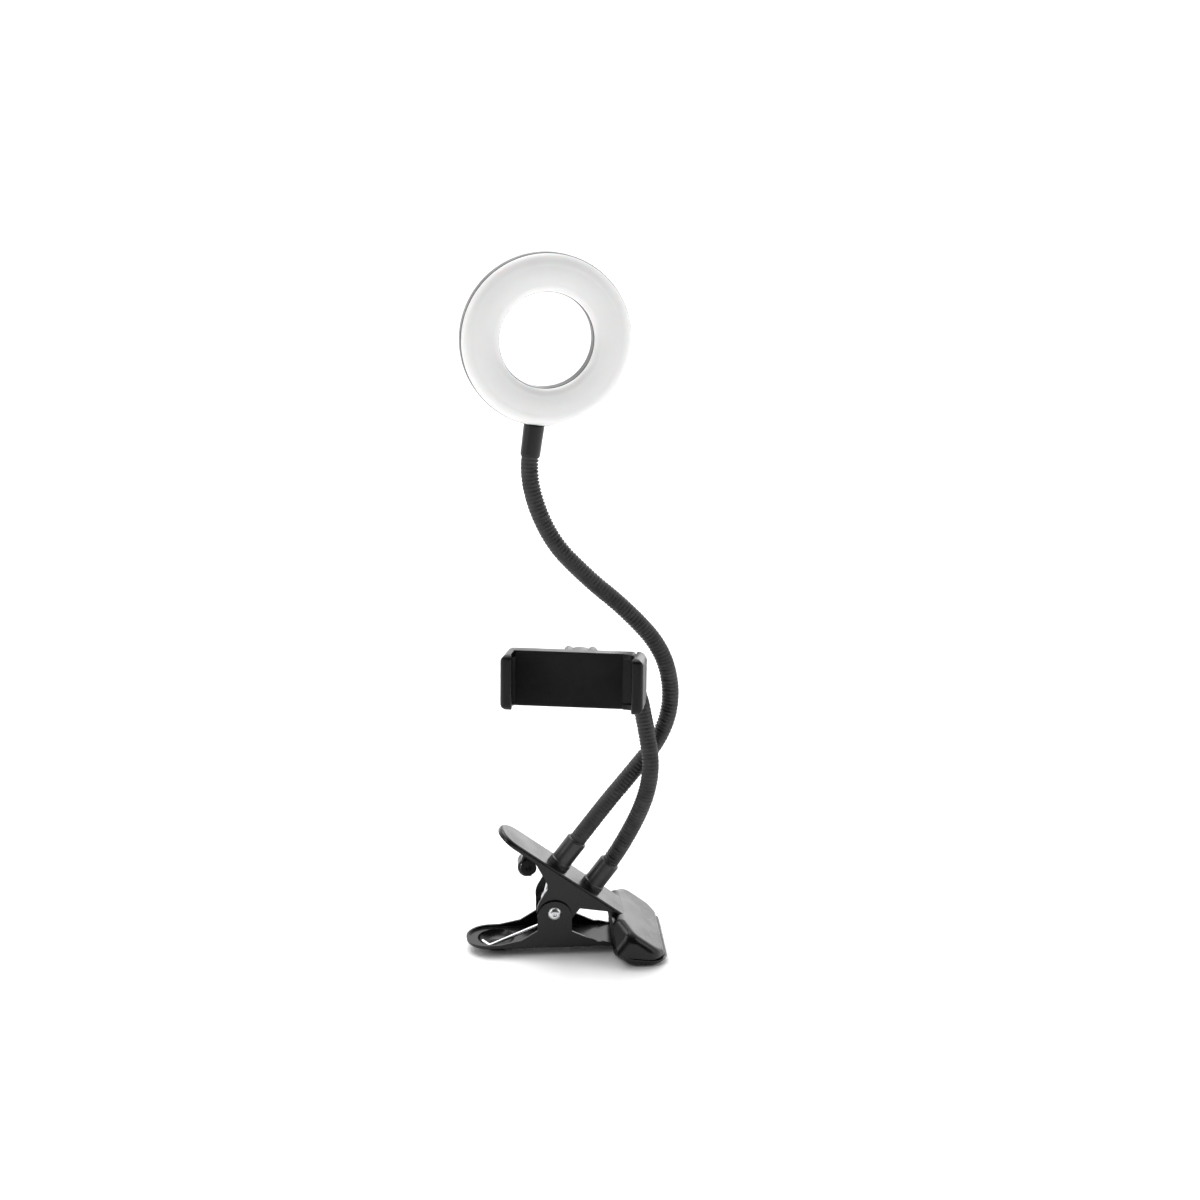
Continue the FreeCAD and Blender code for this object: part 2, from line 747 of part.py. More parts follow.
# ---------------------------------------------------------------- ring light head
back = -size("ring_back")
rim_z = size("ring_rim")
hole = size("ring_hole") / 2
wall = size("ring_wall")
housing = turned(
    "housing", RING,
    [
        (rim_radius, rim_z), (rim_radius, back + 2.6),
        (rim_radius - 0.75, back + 0.75, rim_radius - 2.6, back),
        (hole + 1.6, back), (hole + 0.45, back + 0.45, hole, back + 1.6),
        (hole, rim_z), (hole + wall, rim_z), (hole + wall, back + wall + 0.8),
        (hole + wall + 0.8, back + wall), (rim_radius - wall - 1.2, back + wall),
        (rim_radius - wall, back + wall + 1.2), (rim_radius - wall, rim_z),
    ],
)
stem_place = RING.multiply(Placement(Vector(0, -rim_radius - 4, 0), Rotation(Vector(1, 0, 0), -90)))
stem_hole = tube_or_rod("stem_hole", stem_place, "2.6", "8")
finish("ring_housing", joined("Part::Cut", "housing_bored", housing, stem_hole))

crown = rim_z + size("diffuser_rise")
outer_edge = rim_radius - 0.3
inner_edge = hole + 0.3
diffuser = turned(
    "diffuser", RING,
    [
        (outer_edge, rim_z + 0.05), (outer_edge, rim_z + 0.9),
        (outer_edge - 2.6, crown - 1.0, outer_edge - 6.2, crown - 0.2),
        (hole + 9.6, crown, hole + 4.6, crown - 0.5),
        (hole + 1.8, crown - 1.5, inner_edge, rim_z + 0.9),
        (inner_edge, rim_z + 0.05), (hole + wall + 0.15, rim_z + 0.05),
        (hole + wall + 0.15, rim_z - 1.2), (hole + wall + 1.3, rim_z - 1.2),
        (hole + 2.9, rim_z + 1.2), (hole + 5.0, crown - 1.9),
        (rim_radius - 7.0, crown - 1.7), (rim_radius - 3.4, rim_z + 1.1),
        (rim_radius - wall - 1.3, rim_z - 1.2), (rim_radius - wall - 0.15, rim_z - 1.2),
        (rim_radius - wall - 0.15, rim_z + 0.05),
    ],
)
finish("ring_diffuser", diffuser)

board_z = 0.4
board_at = RING.multiply(Placement(Vector(0, 0, board_z), Rotation()))
board = tube_or_rod(
    "board", board_at, "{board_outer}/2", "{board_thickness}", "{board_inner}/2")
board_top = board_z + size("board_thickness")
screw_places = []
for number in range(4):
    turn = Placement(Vector(), Rotation(Vector(0, 0, 1), 40.0 + 90.0 * number))
    seat = Placement(Vector(size("board_outer") / 2 - 1.8, 0, board_top), Rotation())
    screw_places.append(RING.multiply(turn).multiply(seat))
    below_board = screw_places[-1].multiply(Placement(Vector(0, 0, -2.0), Rotation()))
    screw_hole = tube_or_rod("board_hole_%d" % number, below_board, "0.95", "3")
    board = joined("Part::Cut", "board_drilled_%d" % number, board, screw_hole)
finish("led_board", board)


def ring_of_boxes(name, count, radius, long, wide, high):
    """Small square parts set round the board, as one compound."""
    chips = []
    for number in range(count):
        turn = Placement(Vector(), Rotation(Vector(0, 0, 1), 360.0 * (number + 0.5) / count))
        chip = doc.addObject("Part::Box", "%s_%d" % (name, number))
        bind(chip, Length=str(wide), Width=str(long), Height=str(high))
        seat = Placement(Vector(radius - wide / 2, -long / 2, board_top), Rotation())
        chip.Placement = RING.multiply(turn).multiply(seat)
        chips.append(chip)
    group = doc.addObject("Part::Compound", name)
    group.Links = chips
    return group


mean = (size("board_inner") + size("board_outer")) / 4
finish("led_chips", ring_of_boxes("chip", 36, mean + 2.2, 3.5, 2.8, 0.8))
finish("led_resistors", ring_of_boxes("resistor", 12, mean - 3.6, 2.0, 1.2, 0.5))

posts = []
for number, place in enumerate(screw_places):
    posts.append(turned(
        "board_screw_%d" % number, place,
        [(0, -1.2), (0.9, -1.2), (0.9, 0), (1.5, 0), (1.5, 0.5), (1.1, 0.9), (0, 0.9)],
    ))
screws = doc.addObject("Part::Compound", "screws")
screws.Links = posts
finish("board_screws", screws)

# The stem collar joins the neck to the rim; its spigot goes through the housing's wall.
stem_at = RING.multiply(
    Placement(Vector(0, -rim_radius - stem, 0), Rotation(Vector(1, 0, 0), -90)))
stem_collar = turned(
    "stem", stem_at,
    [
        (0, 1.05), (SLEEVE + 0.05, 1.05), (SLEEVE + 0.05, 0.0), (5.2, 0.0), (5.35, 1.2),
        (5.6, stem - 1.6), (5.6, stem - 0.05), (2.55, stem - 0.05), (2.55, stem + 1.55), (0, stem + 1.55),
    ],
)
finish("ring_stem_collar", stem_collar)

# ---------------------------------------------------------------- phone holder
TOWARDS_NECK = Rotation(Vector(0, 0, 1), REACH * -1)
end_collar = turned(
    "end_collar", Placement(BALL_AT, TOWARDS_NECK),
    [
        (0, 15.6), (5.0, 15.6), (5.7, 15.8), (6.0, 16.6), (6.0, 24.6),
        (5.6, 25.4), (SLEEVE + 0.05, 25.4), (SLEEVE + 0.05, 24.05), (0, 24.05),
    ],
)
stud_hole = tube_or_rod("end_hole", Placement(BALL_AT, TOWARDS_NECK), "2.5", "19.5")
finish("phone_end_collar", joined("Part::Cut", "end_collar_cut", end_collar, stud_hole))
stud_bar = tube_or_rod("ball_bar", Placement(BALL_AT, TOWARDS_NECK), "2.5", "19.5")
stud_ball = ball("ball_round", BALL_AT, "{ball_diameter}/2")
finish("ball_stud", joined("Part::Fuse", "ball_and_stud", stud_ball, stud_bar))

ball_r = size("ball_diameter") / 2
gap = size("running_gap")
lin_in = ball_r + gap
lin_out = lin_in + size("liner_thickness")
cup_in = lin_out + gap
opening = math.radians(58)


def on_arc(radius, degrees):
    turn = math.radians(degrees)
    return (radius * math.sin(turn), radius * math.cos(turn))


liner = turned(
    "liner", HOLDER,
    [
        (0, lin_in), on_arc(lin_in, 35) + on_arc(lin_in, 70), on_arc(lin_out, 70),
        on_arc(lin_out, 35) + (0, lin_out),
    ],
)
finish("ball_liner", liner)

cover_back = size("holder_plate_back")
cover_front = cover_back + 1.8
cup_r = 10.2
cup = turned(
    "cup", HOLDER,
    [
        (0, cup_in), on_arc(cup_in, 45) + on_arc(cup_in, 88), (cup_r, 0.3),
        (cup_r, cover_back - 1.6), (cup_r + 1.6, cover_back + 0.2), (0, cover_back + 0.2),
    ],
)
mid_x = -0.5
plate_half = size("holder_plate_width") / 2
plate_y = size("holder_plate_height") / 2
skin = size("holder_skin")
front = size("holder_plate_front")


def rounded(left, right, half, corner):
    """A rectangle with round corners, from left to right and half as high each way."""
    near = corner * 0.293
    return [
        (left + corner, -half), (right - corner, -half),
        (right - near, -half + near, right, -half + corner), (right, half - corner),
        (right - near, half - near, right - corner, half), (left + corner, half),
        (left + near, half - near, left, half - corner), (left, -half + corner),
        (left + near, -half + near, left + corner, -half),
    ]


cover_plate = block(
    "cover_plate", HOLDER,
    rounded(mid_x - plate_half + skin + 0.2, mid_x + plate_half - skin - 0.2, plate_y - skin - 0.2, 0.6),
    cover_back, cover_front,
)
cover = joined("Part::Fuse", "cover_and_cup", cover_plate, cup)
# Four screws beside the cup hold the cover to posts inside the frame.
cover_screws = [(x, y) for x in (-27.0, -16.0) for y in (-6.0, 6.0)]
for number, (x, y) in enumerate(cover_screws):
    seat = HOLDER.multiply(Placement(Vector(x, y, cover_back - 1), Rotation()))
    screw_hole = tube_or_rod("cover_hole_%d" % number, seat, "1.05", "4")
    cover = joined("Part::Cut", "cover_drilled_%d" % number, cover, screw_hole)
finish("holder_back_cover", cover)

# The frame: a hollow plate with the fixed jaw at its left end.
jaw_half = size("jaw_height") / 2
jaw_front = size("jaw_depth")
left_out = mid_x - size("holder_width") / 2
right_out = mid_x + size("holder_width") / 2
left_in = left_out + size("holder_jaw")
right_in = right_out - size("holder_jaw")


def jaw_view(outer, inner, back_z):
    """Section of a jaw: an upright, rounded outside, with a lip that turns in at the front."""
    side = 1.0 if inner > outer else -1.0
    lip = inner + side * size("holder_lip")
    return [
        (outer + side * 1.6, back_z), (inner, back_z), (inner, jaw_front - 4.4),
        (inner + side * 0.15, jaw_front - 3.0, lip, jaw_front - 2.0),
        (lip - side * 0.25, jaw_front - 0.5, lip - side * 1.5, jaw_front),
        (outer + side * 2.6, jaw_front),
        (outer + side * 0.8, jaw_front - 0.9, outer, jaw_front - 3.2),
        (outer, back_z + 2.2),
        (outer + side * 0.45, back_z + 0.55, outer + side * 1.6, back_z),
    ]


def jaw_body(name, outer, inner, back_z):
    made = body(name, HOLDER)
    flat = sketch(made, name + "_view", "XZ_Plane")
    outline(flat, jaw_view(outer, inner, back_z))
    pad(made, flat, name + "_pad", "{jaw_height}", both=True)
    corner = 3.6
    near = corner * 0.293
    trim = body(name + "_trim", HOLDER)
    flat = sketch(trim, name + "_front", "YZ_Plane")
    outline(flat, [
        (-jaw_half, back_z - 1.0), (-jaw_half, jaw_front - corner),
        (-jaw_half + near, jaw_front - near, -jaw_half + corner, jaw_front),
        (jaw_half - corner, jaw_front),
        (jaw_half - near, jaw_front - near, jaw_half, jaw_front - corner),
        (jaw_half, back_z - 1.0),
    ])
    pad(trim, flat, name + "_trim_pad", "{holder_width} + 10", both=True)
    return joined("Part::Common", name + "_rounded", made, trim)


frame_block = block(
    "frame_block", HOLDER,
    rounded(left_out + 1.5, mid_x + plate_half, plate_y, 2.4), cover_back, front,
)
frame_room = block(
    "frame_room", HOLDER,
    rounded(mid_x - plate_half + skin, mid_x + plate_half - skin, plate_y - skin, 0.6),
    cover_back - 1.0, front - skin,
)
fixed = jaw_body("fixed_jaw", left_out, left_in, cover_back)
frame_solid = joined("Part::Fuse", "frame_and_jaw", frame_block, fixed)
frame_solid = joined("Part::Cut", "frame_hollow", frame_solid, frame_room)
for number, (x, y) in enumerate(cover_screws):
    seat = HOLDER.multiply(Placement(Vector(x, y, cover_front + 0.05), Rotation()))
    post = tube_or_rod("frame_post_%d" % number, seat, "2.2", str(front - 1.0 - cover_front))
    bore = tube_or_rod("frame_bore_%d" % number, seat, "1.05", "3.2")
    frame_solid = joined("Part::Fuse", "frame_posted_%d" % number, frame_solid, post)
    frame_solid = joined("Part::Cut", "frame_drilled_%d" % number, frame_solid, bore)
slot = doc.addObject("Part::Box", "tongue_slot")
bind(slot, Length="8", Width="17.6", Height="3.2")
tongue_low = cover_front + 0.3
slot.Placement = HOLDER.multiply(
    Placement(Vector(mid_x + plate_half - 4, -8.8, tongue_low - 0.1), Rotation()))
frame_solid = joined("Part::Cut", "frame_slotted", frame_solid, slot)
finish("holder_frame", frame_solid)

moving = jaw_body("moving_jaw", right_out, right_in, cover_back)
tongue = doc.addObject("Part::Box", "tongue")
bind(tongue, Length=str(right_in + 1 + 10), Width="17", Height="3")
tongue.Placement = HOLDER.multiply(Placement(Vector(-10.0, -8.5, tongue_low), Rotation()))
ears = doc.addObject("Part::Box", "tongue_ears")
bind(ears, Length="4", Width=str(2 * (plate_y - skin) - 0.6), Height="3")
ears.Placement = HOLDER.multiply(
    Placement(Vector(-10.0, -(plate_y - skin) + 0.3, tongue_low), Rotation()))
moving_solid = joined("Part::Fuse", "jaw_and_tongue", moving, tongue)
moving_solid = joined("Part::Fuse", "jaw_and_ears", moving_solid, ears)
for side, word in ((-1, "low"), (1, "high")):
    gusset = body("gusset_" + word, HOLDER.multiply(
        Placement(Vector(0, side * (jaw_half - 1.5), 0), Rotation())))
    flat = sketch(gusset, "gusset_view_" + word, "XZ_Plane")
    outline(flat, [
        (right_in + 0.5, front + 0.3), (right_in - 6.5, front + 0.3), (right_in - 6.5, front + 1.2),
        (right_in - 1.6, front + 3.0, right_in, front + 8.0), (right_in + 0.5, front + 8.0),
    ])
    pad(gusset, flat, "gusset_pad_" + word, "3", both=True)
    moving_solid = joined("Part::Fuse", "jaw_gusset_" + word, moving_solid, gusset)
rod_y = plate_y - skin - 2.3
rods = []
for side, word in ((-1, "low"), (1, "high")):
    rod_at = HOLDER.multiply(Placement(
        Vector(mid_x - plate_half + skin + 0.05, side * rod_y, tongue_low + 1.5),
        Rotation(Vector(0, 1, 0), 90)))
    rods.append(tube_or_rod(
        "rod_" + word, rod_at, "{rod_diameter}/2", str(2 * (plate_half - skin) - 0.1)))
    hole_cut = tube_or_rod("rod_hole_" + word, rod_at, "{rod_diameter}/2 + 0.12", "80")
    moving_solid = joined("Part::Cut", "jaw_bored_" + word, moving_solid, hole_cut)
finish("sliding_jaw", moving_solid)
rod_pair = doc.addObject("Part::Compound", "rods")
rod_pair.Links = rods
finish("guide_rods", rod_pair)
sleeves = []
for side, word in ((-1, "low"), (1, "high")):
    rest_at = HOLDER.multiply(Placement(
        Vector(-5.8, side * rod_y, tongue_low + 1.5), Rotation(Vector(0, 1, 0), 90)))
    sleeves.append(tube_or_rod(
        "return_spring_" + word, rest_at, "{rod_diameter}/2 + 0.5",
        str(mid_x + plate_half - skin + 5.7), "{rod_diameter}/2 + 0.15"))
spring_pair = doc.addObject("Part::Compound", "return_pair")
spring_pair.Links = sleeves
finish("return_springs", spring_pair)


def ribbed_pad(name, face, side):
    """A soft strip on a jaw's inner face with upright ridges."""
    made = body(name, HOLDER)
    flat = sketch(made, name + "_view", "XZ_Plane")
    low_z = front + 1.5
    rib = 2.1
    steps = [(face, low_z)]
    for number in range(3):
        z = low_z + rib * number
        steps.append((face + side * 0.7, z + 0.2))
        steps.append((face + side * 1.3, z + rib * 0.5, face + side * 0.7, z + rib - 0.2))
    steps.append((face, low_z + 3 * rib))
    outline(flat, steps)
    pad(made, flat, name + "_pad", str(2 * jaw_half - 6.4), both=True)
    return made


finish("fixed_jaw_pad", ribbed_pad("fixed_pad", left_in, 1.0))
moving_pad = ribbed_pad("moving_pad", right_in, -1.0)
finish("sliding_jaw_pad", moving_pad)
plate_pad = block(
    "plate_cushion", HOLDER,
    rounded(left_in + 0.5, right_in - 7.0, plate_y - 1.0, 1.6), front, front + 0.7,
)
finish("plate_pad", plate_pad)

nut_out = size("nut_outer") / 2
# Its back lip keeps the ball in, and flares so that the stud can lean right over.
nut_root = nut_out - 2.0
nut_body = turned(
    "nut_blank", HOLDER,
    [
        (0, -4.5), (nut_root - 0.8, -4.5), (nut_root, -3.7), (nut_root, 5.2),
        (nut_root - 0.8, 6.0), (0, 6.0),
    ],
)
for number in range(6):
    turn = Placement(Vector(), Rotation(Vector(0, 0, 1), 60.0 * number))
    lobe = tube_or_rod(
        "nut_lobe_%d" % number,
        HOLDER.multiply(turn).multiply(Placement(Vector(nut_out - 2.6, 0, -4.0), Rotation())),
        "2.6", "9.4")
    nut_body = joined("Part::Fuse", "nut_step_%d" % number, nut_body, lobe)
lip = ball_r + 0.15
lip_edge = on_arc(lip, 180 - 72)
flare = 1.34
nut_inside = turned(
    "nut_inside", HOLDER,
    [
        (0, -6.0), (lip_edge[0] + flare * (6.0 + lip_edge[1]), -6.0), lip_edge,
        on_arc(lip, 99) + (lip * math.cos(math.asin(0.1 / lip)), 0.1), (cup_r + 0.08, 0.1),
        (cup_r + 0.08, 7.0), (0, 7.0),
    ],
)
finish("locking_nut", joined("Part::Cut", "nut_bored", nut_body, nut_inside))

heads = []
for number, (x, y) in enumerate(cover_screws):
    seat = HOLDER.multiply(Placement(Vector(x, y, cover_back), Rotation(Vector(1, 0, 0), 180)))
    heads.append(turned(
        "cover_screw_%d" % number, seat,
        [(0, -4.6), (1.0, -4.6), (1.0, 0), (1.9, 0), (1.9, 0.5), (1.4, 1.1), (0, 1.1)],
    ))
head_group = doc.addObject("Part::Compound", "cover_screw_set")
head_group.Links = heads
finish("holder_screws", head_group)

# ---------------------------------------------------------------- jaw pads of the clamp
under_plate = TOP - STEEL
upper_slab = block(
    "upper_slab", UPPER, wing_outline(start, reach, WING_HALF, roll + 0.3),
    0.0, under_plate - 0.05,
)
cushion = size("pad_thickness")
slab_view = side_view(
    "slab_side", UPPER,
    [
        (start + 2, 10.2), (38.5, 5.6 - 0.55), (reach - 1.2, 19.3 - 1.6),
        (reach - 1.2, under_plate - 0.05), (reach - 6.0, under_plate - 0.05),
        (38.5, 5.6 + cushion + 0.4), (start + 2, 10.2 + cushion),
    ],
    size("jaw_width") + 20,
)
finish("upper_jaw_pad", joined("Part::Common", "upper_pad", upper_slab, slab_view))
lower_pad = block(
    "lower_slab", LOWER,
    wing_outline(jaw_back + 5.0, jaw_tip - 4.2, WING_HALF - 5.2),
    STEEL + 0.02, STEEL + 1.7,
)
finish("lower_jaw_pad", lower_pad)

# ---------------------------------------------------------------- checks and export
doc.recompute()
trouble = []
for thing in doc.Objects:
    if "Invalid" in thing.State or "Error" in thing.State:
        trouble.append(thing.Name)
for node, thing in nodes.items():
    if thing.Shape.isNull() or not thing.Shape.isValid():
        trouble.append(node)
if trouble:
    raise RuntimeError("not sound: " + ", ".join(trouble))
os.makedirs("parts", exist_ok=True)
for node, thing in nodes.items():
    thing.Shape.exportStep("parts/%s.step" % node)
print("nodes", len(nodes))
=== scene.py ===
import json
import math

import bmesh
import bpy
import numpy as np
from mathutils import Matrix, Vector


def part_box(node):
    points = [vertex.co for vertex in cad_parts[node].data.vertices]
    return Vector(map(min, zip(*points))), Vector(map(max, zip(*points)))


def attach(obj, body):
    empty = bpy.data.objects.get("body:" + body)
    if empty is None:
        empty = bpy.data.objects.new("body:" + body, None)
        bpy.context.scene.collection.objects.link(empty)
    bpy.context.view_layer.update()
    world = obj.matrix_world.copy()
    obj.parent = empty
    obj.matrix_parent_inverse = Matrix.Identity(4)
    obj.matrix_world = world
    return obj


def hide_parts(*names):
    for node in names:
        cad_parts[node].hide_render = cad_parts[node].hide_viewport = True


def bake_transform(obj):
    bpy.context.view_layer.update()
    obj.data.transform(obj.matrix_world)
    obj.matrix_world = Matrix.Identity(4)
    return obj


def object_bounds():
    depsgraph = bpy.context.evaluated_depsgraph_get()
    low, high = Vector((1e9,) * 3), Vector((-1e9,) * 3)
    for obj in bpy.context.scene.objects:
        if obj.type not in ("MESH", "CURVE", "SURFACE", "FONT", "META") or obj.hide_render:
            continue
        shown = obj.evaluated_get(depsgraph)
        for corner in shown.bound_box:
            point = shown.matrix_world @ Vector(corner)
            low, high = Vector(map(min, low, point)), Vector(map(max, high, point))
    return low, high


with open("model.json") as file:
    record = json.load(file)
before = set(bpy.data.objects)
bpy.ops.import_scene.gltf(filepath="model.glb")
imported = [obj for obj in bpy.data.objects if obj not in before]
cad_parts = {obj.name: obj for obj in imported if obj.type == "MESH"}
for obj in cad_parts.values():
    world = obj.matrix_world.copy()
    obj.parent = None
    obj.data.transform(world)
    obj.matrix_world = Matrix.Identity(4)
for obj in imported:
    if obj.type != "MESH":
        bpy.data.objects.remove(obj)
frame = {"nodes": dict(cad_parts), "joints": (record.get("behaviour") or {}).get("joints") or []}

cad_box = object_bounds()
nodes = frame["nodes"]
hinge_at = {j["name"]: Vector(j["pos_m"]) for j in frame["joints"] if j["type"] == "hinge"}

# ---------------------------------------------------------------- lower clamp lever
# The lower half of the spring clip: sheet steel, pressed and drawn in one hit, with ears
# for the pin, a dished finger tray and a round-edged jaw. Stove-enamelled gloss black.


def finish_of(name, colour, roughness, metallic=0.0):
    """A fresh material and its tree, shader and surface coordinates."""
    made = bpy.data.materials.new(name)
    made.use_nodes = True
    tree = made.node_tree
    shader = tree.nodes["Principled BSDF"]
    shader.inputs["Base Color"].default_value = (*colour, 1.0)
    shader.inputs["Roughness"].default_value = roughness
    shader.inputs["Metallic"].default_value = metallic
    made.diffuse_color = (*colour, 1.0)
    place = tree.nodes.new("ShaderNodeTexCoord")
    return made, tree, shader, place.outputs["Object"]


def mottle(tree, coords, scale, detail=4.0, stretch=(1, 1, 1)):
    """Fine noise over the surface, stretched along an axis where the finish has a grain."""
    spread = tree.nodes.new("ShaderNodeMapping")
    spread.inputs["Scale"].default_value = stretch
    tree.links.new(coords, spread.inputs["Vector"])
    noise = tree.nodes.new("ShaderNodeTexNoise")
    noise.inputs["Scale"].default_value = scale
    noise.inputs["Detail"].default_value = detail
    tree.links.new(spread.outputs["Vector"], noise.inputs["Vector"])
    return noise.outputs["Fac"]


def ramp(tree, value, low, high, at_low=0.3, at_high=0.7):
    """Turns a value into a colour or a grey between two ends."""
    made = tree.nodes.new("ShaderNodeValToRGB")
    ends = made.color_ramp.elements
    ends[0].position = at_low
    ends[1].position = at_high
    ends[0].color = (*low, 1.0) if len(low) == 3 else (low[0], low[0], low[0], 1.0)
    ends[1].color = (*high, 1.0) if len(high) == 3 else (high[0], high[0], high[0], 1.0)
    tree.links.new(value, made.inputs["Fac"])
    return made.outputs["Color"]


def bumped(tree, shader, height, strength, distance):
    """Raises the surface by a height pattern."""
    bump = tree.nodes.new("ShaderNodeBump")
    bump.inputs["Strength"].default_value = strength
    bump.inputs["Distance"].default_value = distance
    tree.links.new(height, bump.inputs["Height"])
    tree.links.new(bump.outputs["Normal"], shader.inputs["Normal"])


def black_enamel(name):
    """Gloss black stove enamel: faint orange peel, haze, dust and fine handling marks."""
    made, tree, shader, coords = finish_of(name, (0.0035, 0.0035, 0.0038), 0.24)
    peel = mottle(tree, coords, 900.0, 2.0)
    bumped(tree, shader, peel, 0.14, 0.0002)
    haze = mottle(tree, coords, 60.0, 6.0)
    tree.links.new(ramp(tree, haze, (0.17,), (0.33,)), shader.inputs["Roughness"])
    tone = mottle(tree, coords, 25.0, 3.0)
    tree.links.new(
        ramp(tree, tone, (0.0028, 0.0028, 0.0030), (0.0060, 0.0060, 0.0064)),
        shader.inputs["Base Color"],
    )
    shader.inputs["Specular IOR Level"].default_value = 0.30
    return made


def wear(piece, material, angle=32):
    """Gives a piece its one material, and smooth shading up to an edge angle."""
    piece.data.materials.clear()
    piece.data.materials.append(material)
    piece.data.shade_smooth()
    piece.data.set_sharp_from_angle(angle=math.radians(angle))
    flat_faces = piece.modifiers.new("flat faces stay flat", "WEIGHTED_NORMAL")
    flat_faces.mode = "FACE_AREA"
    flat_faces.weight = 100
    flat_faces.keep_sharp = True


enamel = black_enamel("black enamel")
wear(nodes["lower_lever"], enamel)

# ---------------------------------------------------------------- jaw pads
# Two moulded black rubber pads, bonded inside the jaws so that the steel never touches
# what it grips. Matt, with a fine grain from the mould.


def soft_rubber(name, colour=(0.008, 0.008, 0.008)):
    """Matt rubber with a fine moulded grain and a little bloom."""
    made, tree, shader, coords = finish_of(name, colour, 0.75)
    shader.inputs["Specular IOR Level"].default_value = 0.12
    grain = mottle(tree, coords, 1600.0, 3.0)
    bumped(tree, shader, grain, 0.35, 0.0003)
    bloom = mottle(tree, coords, 40.0, 5.0)
    lighter = tuple(c * 1.8 + 0.001 for c in colour)
    tree.links.new(ramp(tree, bloom, colour, lighter), shader.inputs["Base Color"])
    return made


pad_rubber = soft_rubber("pad rubber")
wear(nodes["lower_jaw_pad"], pad_rubber)
wear(nodes["upper_jaw_pad"], pad_rubber)

# ---------------------------------------------------------------- pivot rivet and spacer
# A zinc-plated steel rivet through both levers, with a spun head, and the spacer tube
# that the spring's coil sits on.


def bright_zinc(name, colour=(0.62, 0.63, 0.64), roughness=0.24):
    """Zinc-plated steel: bright, with a slightly uneven passivated film."""
    made, tree, shader, coords = finish_of(name, colour, roughness, 1.0)
    film = mottle(tree, coords, 120.0, 5.0)
    darker = tuple(c * 0.80 for c in colour)
    tree.links.new(ramp(tree, film, darker, colour), shader.inputs["Base Color"])
    tree.links.new(
        ramp(tree, mottle(tree, coords, 400.0, 3.0), (roughness * 0.8,), (roughness * 1.4,)),
        shader.inputs["Roughness"],
    )
    return made


zinc = bright_zinc("bright zinc")
wear(nodes["pivot_rivet"], zinc, 60)
wear(nodes["spring_spacer"], zinc, 60)

# ---------------------------------------------------------------- torsion spring
# Round spring wire, coiled on the spacer, with one leg in the finger tray and one under
# the upper lever. Drawn bright. It winds up as the clamp opens.
WIRE_RADIUS = 0.0010
COIL_RADIUS = 0.0059
COIL_PITCH = 0.0025
TRAY_HOOK = (-0.0890, -0.0016, 0.00405)
TRAY_FOOT = (-0.0850, -0.0050, 0.00255)
LIFT_FOOT = (-0.0473, 0.0082, 0.04835)
TRAY_CORNER = 0.0014
LIFT_CORNER = 0.0010
LEG_STEP = 0.0015


def frames_along(points):
    """Tangent and two crosswise directions at each point, carried along without twist."""
    tangent = np.gradient(points, axis=0)
    tangent /= np.linalg.norm(tangent, axis=1)[:, None]
    first = np.zeros_like(points)
    start = np.cross(tangent[0], (0.0, 1.0, 0.0))
    first[0] = start / np.linalg.norm(start)
    for i in range(1, len(points)):
        moved = first[i - 1] - tangent[i] * np.dot(first[i - 1], tangent[i])
        first[i] = moved / np.linalg.norm(moved)
    return tangent, first, np.cross(tangent, first)


def tube_mesh(name, points, radius_at, round_count, material, angle=70):
    """A closed tube along points; radius_at gives its radius at a point and a turn."""
    tangent, first, second = frames_along(points)
    mesh = bmesh.new()
    rings = []
    for i, point in enumerate(points):
        ring = []
        for k in range(round_count):
            turn = 2 * math.pi * k / round_count
            out = first[i] * math.cos(turn) + second[i] * math.sin(turn)
            ring.append(mesh.verts.new(point + out * radius_at(i, turn, out)))
        rings.append(ring)
    for a, b in zip(rings, rings[1:]):
        for k in range(round_count):
            m = (k + 1) % round_count
            mesh.faces.new((a[k], a[m], b[m], b[k]))
    mesh.faces.new(tuple(reversed(rings[0])))
    mesh.faces.new(tuple(rings[-1]))
    data = bpy.data.meshes.new(name)
    mesh.to_mesh(data)
    mesh.free()
    made = bpy.data.objects.new(name, data)
    bpy.context.scene.collection.objects.link(made)
    made.data.materials.append(material)
    made.data.shade_smooth()
    made.data.set_sharp_from_angle(angle=math.radians(angle))
    return made


def tangent_angle(foot, side):
    """Angle about the pin at which a straight leg from its foot meets the coil."""
    pin_x, _, pin_z = hinge_at["clamp_open"]
    dx = foot[0] - pin_x
    dz = foot[2] - pin_z
    return math.atan2(dz, dx) + side * math.acos(COIL_RADIUS / math.hypot(dx, dz))


def bent_wire(corners, step, corner_reach):
    """Points along straight runs of wire, with each corner bent to a small radius."""
    dots = [np.array(corners[0])]
    for before, corner, after in zip(corners, corners[1:], corners[2:]):
        b, c, a = (np.array(p) for p in (before, corner, after))
        start = c + (b - c) / np.linalg.norm(b - c) * corner_reach
        end = c + (a - c) / np.linalg.norm(a - c) * corner_reach
        for t in np.linspace(0.0, 1.0, 9):
            dots.append(start * (1 - t) ** 2 + c * 2 * t * (1 - t) + end * t ** 2)
    dots.append(np.array(corners[-1]))
    line = [dots[0]]
    for there in dots[1:]:
        gap = np.linalg.norm(there - line[-1])
        count = max(1, int(gap / step))
        here = line[-1]
        line += [here + (there - here) * (n / count) for n in range(1, count + 1)]
    return line


